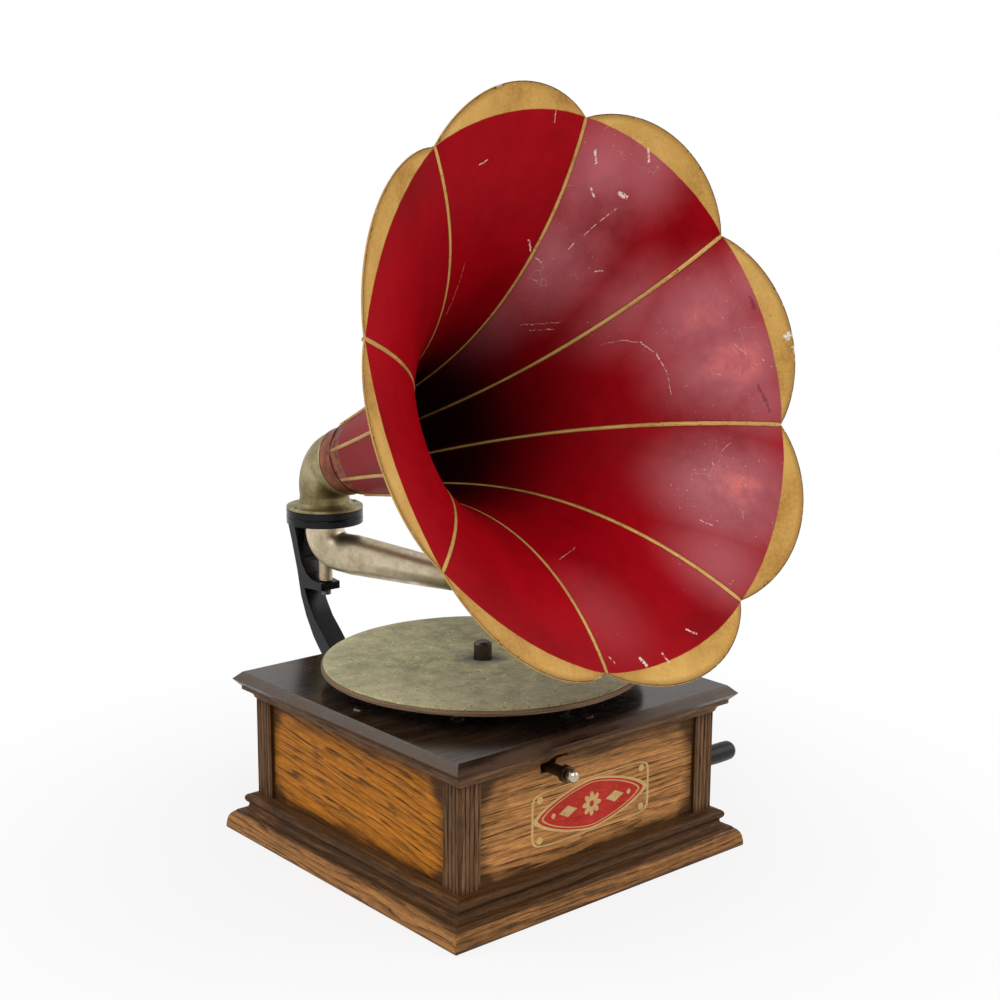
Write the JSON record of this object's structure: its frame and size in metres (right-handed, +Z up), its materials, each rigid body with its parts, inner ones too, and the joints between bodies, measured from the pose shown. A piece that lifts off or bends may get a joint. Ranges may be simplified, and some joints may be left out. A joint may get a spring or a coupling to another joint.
{
  "type": "gramophone",
  "caption": "Wind-up table gramophone: oak case, felt turntable, swinging tone arm and a scalloped flower horn on an iron rear bracket.",
  "frame": {"origin": "centre of the cabinet's underside, straight below the spindle", "axes": "+Z up along the spindle; -Y to the front, where the lever is; +X to the crank; +Y to the horn's bracket"},
  "size_m": [0.4413, 0.4349, 0.5886],
  "materials": {
    "bottom_board": "bare deal",
    "base_moulding": "oak moulding, varnished",
    "front_panel": "oak, varnished, browner",
    "back_panel": "golden oak, varnished",
    "left_panel": "golden oak, varnished",
    "right_panel": "golden oak, varnished",
    "corner_pilasters": "dark oak, varnished",
    "cornice_moulding": "oak moulding, varnished",
    "top_board": "very dark satin board",
    "top_board_screws": "machined steel",
    "motor_top_plate": "grey iron",
    "motor_bottom_plate": "grey iron",
    "motor_pillars": "machined steel",
    "motor_bolts": "machined steel",
    "governor_bearings": "grey iron",
    "crank_bearing": "dark browned steel",
    "brake_bracket": "machined steel",
    "click_spring": "machined steel",
    "rear_bracket": "gloss black japan",
    "bracket_screws": "nickel",
    "pivot_screw": "machined steel",
    "horn_elbow": "worn nickel over brass",
    "elbow_screws": "nickel",
    "turntable_plate": "nickel",
    "turntable_felt": "short felt",
    "spindle": "dark browned steel",
    "spindle_pinion": "machined steel",
    "governor_wheel": "pressed fibre",
    "layshaft": "machined steel",
    "layshaft_pinion": "machined steel",
    "layshaft_wheel": "machined brass",
    "spring_barrel": "machined steel",
    "barrel_cover": "machined steel",
    "great_wheel": "machined brass",
    "mainspring": "machined steel",
    "barrel_arbor": "machined steel",
    "winding_wheel": "machined brass",
    "ratchet_wheel": "machined steel",
    "ratchet_click": "machined steel",
    "crank_shaft": "dark browned steel",
    "winding_pinion": "machined steel",
    "crank_arm": "dark browned steel",
    "crank_grip": "black composition",
    "governor_shaft": "machined steel",
    "governor_disc": "machined steel",
    "governor_springs": "machined steel",
    "governor_weights": "machined brass",
    "governor_lever": "machined steel",
    "brake_lever": "nickel",
    "brake_rod": "machined steel",
    "tone_arm": "warm nickel",
    "tonearm_lug": "warm nickel",
    "gooseneck": "warm nickel",
    "soundbox_housing": "warm nickel",
    "soundbox_diaphragm": "thin metal sheet",
    "stylus_bar": "warm nickel",
    "needle_screw": "warm nickel",
    "horn_bell": "crimson gloss paint",
    "horn_ribs": "gold paint",
    "horn_ferrule": "coppery plating"
  },
  "bodies": {
    "cabinet": {"bottom_board": "bottom_board", "base_moulding": "base_moulding", "front_panel": "front_panel", "back_panel": "back_panel", "left_panel": "left_panel", "right_panel": "right_panel", "corner_pilasters": "corner_pilasters", "cornice_moulding": "cornice_moulding", "top_board": "top_board", "top_board_screws": "top_board_screws", "motor_top_plate": "motor_top_plate", "motor_bottom_plate": "motor_bottom_plate", "motor_pillars": "motor_pillars", "motor_bolts": "motor_bolts", "governor_bearings": "governor_bearings", "crank_bearing": "crank_bearing", "brake_bracket": "brake_bracket", "click_spring": "click_spring", "rear_bracket": "rear_bracket", "bracket_screws": "bracket_screws", "pivot_screw": "pivot_screw", "horn_elbow": "horn_elbow", "elbow_screws": "elbow_screws"},
    "turntable": {"turntable_plate": "turntable_plate", "turntable_felt": "turntable_felt", "spindle": "spindle", "spindle_pinion": "spindle_pinion", "governor_wheel": "governor_wheel"},
    "layshaft": {"layshaft": "layshaft", "layshaft_pinion": "layshaft_pinion", "layshaft_wheel": "layshaft_wheel"},
    "barrel": {"spring_barrel": "spring_barrel", "barrel_cover": "barrel_cover", "great_wheel": "great_wheel", "mainspring": "mainspring"},
    "arbor": {"barrel_arbor": "barrel_arbor", "winding_wheel": "winding_wheel", "ratchet_wheel": "ratchet_wheel"},
    "click": {"ratchet_click": "ratchet_click"},
    "crank": {"crank_shaft": "crank_shaft", "winding_pinion": "winding_pinion", "crank_arm": "crank_arm"},
    "grip": {"crank_grip": "crank_grip"},
    "governor": {"governor_shaft": "governor_shaft", "governor_disc": "governor_disc", "governor_springs": "governor_springs", "governor_weights": "governor_weights"},
    "governor_lever": {"governor_lever": "governor_lever"},
    "brake_lever": {"brake_lever": "brake_lever"},
    "brake_rod": {"brake_rod": "brake_rod"},
    "tone_arm": {"tone_arm": "tone_arm", "tonearm_lug": "tonearm_lug"},
    "sound_box": {"gooseneck": "gooseneck", "soundbox_housing": "soundbox_housing", "soundbox_diaphragm": "soundbox_diaphragm", "stylus_bar": "stylus_bar"},
    "needle_screw": {"needle_screw": "needle_screw"},
    "horn": {"horn_bell": "horn_bell", "horn_ribs": "horn_ribs", "horn_ferrule": "horn_ferrule"}
  },
  "joints": [
    {"name": "turntable_spin", "type": "hinge", "parent": "cabinet", "child": "turntable", "pos_m": [0, 0, 0.147], "axis": [0, 0, 1], "continuous": true},
    {"name": "layshaft_turn", "type": "hinge", "parent": "cabinet", "child": "layshaft", "pos_m": [0.03114, 0.01806, 0.08], "axis": [0, 0, 1], "continuous": true},
    {"name": "barrel_turn", "type": "hinge", "parent": "cabinet", "child": "barrel", "pos_m": [0.062, -0.02, 0.06], "axis": [0, 0, 1], "continuous": true},
    {"name": "governor_spin", "type": "hinge", "parent": "cabinet", "child": "governor", "pos_m": [-0.025, 0.04, 0.068], "axis": [0, 1, 0], "continuous": true},
    {"name": "crank_turn", "type": "hinge", "parent": "cabinet", "child": "crank", "pos_m": [0.14, -0.02, 0.086], "axis": [1, 0, 0], "continuous": true},
    {"name": "arbor_turn", "type": "hinge", "parent": "cabinet", "child": "arbor", "pos_m": [0.062, -0.02, 0.08], "axis": [0, 0, 1], "continuous": true},
    {"name": "grip_spin", "type": "hinge", "parent": "crank", "child": "grip", "pos_m": [0.152, -0.07988, 0.04785], "axis": [1, 0, 0], "continuous": true},
    {"name": "click_pivot", "type": "hinge", "parent": "cabinet", "child": "click", "pos_m": [0.062, 0.006, 0.1], "axis": [0, 0, 1], "range_deg": [0, 6], "stiffness_Nm_per_rad": 0.02},
    {"name": "governor_lever_tilt", "type": "hinge", "parent": "cabinet", "child": "governor_lever", "pos_m": [-0.025, 0.0679, 0.102], "axis": [1, 0, 0], "range_deg": [0, 5]},
    {"name": "brake_lever_turn", "type": "hinge", "parent": "cabinet", "child": "brake_lever", "pos_m": [-0.0319, -0.114, 0.0958], "axis": [0, 1, 0], "range_deg": [0, 13]},
    {"name": "brake_rod_slide", "type": "slide", "parent": "cabinet", "child": "brake_rod", "axis": [0, 0, 1], "range_m": [-0.003, 0]},
    {"name": "tone_arm_swing", "type": "hinge", "parent": "cabinet", "child": "tone_arm", "pos_m": [0, 0.2148, 0.23], "axis": [0, 0, 1], "range_deg": [-17, 40]},
    {"name": "sound_box_turn", "type": "hinge", "parent": "tone_arm", "child": "sound_box", "pos_m": [0.08679, 0.05156, 0.17859], "axis": [-0.4666, 0.8776, 0.1097], "range_deg": [0, 100]},
    {"name": "needle_screw_turn", "type": "hinge", "parent": "sound_box", "child": "needle_screw", "pos_m": [0.07721, 0.01122, 0.1575], "axis": [-0.8829, -0.4695, 0], "continuous": true},
    {"name": "horn_pull", "type": "slide", "parent": "cabinet", "child": "horn", "axis": [0.0435, -0.9513, 0.305], "range_m": [0, 0.04]}
  ],
  "couplings": [
    {"joint": "layshaft_turn", "follows": "turntable_spin", "ratio": -0.2},
    {"joint": "barrel_turn", "follows": "turntable_spin", "ratio": 0.033333},
    {"joint": "governor_spin", "follows": "turntable_spin", "ratio": 10},
    {"joint": "arbor_turn", "follows": "crank_turn", "ratio": 0.5},
    {"joint": "brake_rod_slide", "follows": "brake_lever_turn", "m_per_rad": -0.013222}
  ]
}
